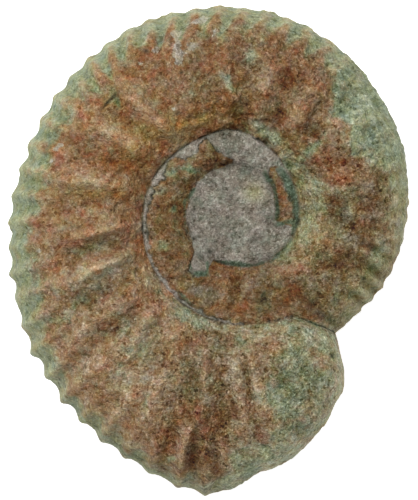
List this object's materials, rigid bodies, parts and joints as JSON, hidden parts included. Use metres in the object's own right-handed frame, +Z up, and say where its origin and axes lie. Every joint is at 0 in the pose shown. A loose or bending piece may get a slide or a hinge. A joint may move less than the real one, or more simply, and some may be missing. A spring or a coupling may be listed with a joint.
{
  "type": "ammonite fossil",
  "caption": "Ribbed spiral ammonite fossil with a broken last whorl and a sediment-filled centre, lying on its flank.",
  "frame": {"origin": "on the surface it lies on, under the middle of its outline seen from above", "axes": "+Z up through the thickness, the shell's coiling axis close to it; +Y along the longest diameter, with the broken end of the last whorl towards -Y"},
  "size_m": [0.0681, 0.0833, 0.0245],
  "materials": {
    "fossil_stone": "matt, grainy, iron-brown with sage-green patches and a grey centre"
  },
  "bodies": {
    "root": {"ammonite": "fossil_stone"}
  },
  "joints": []
}
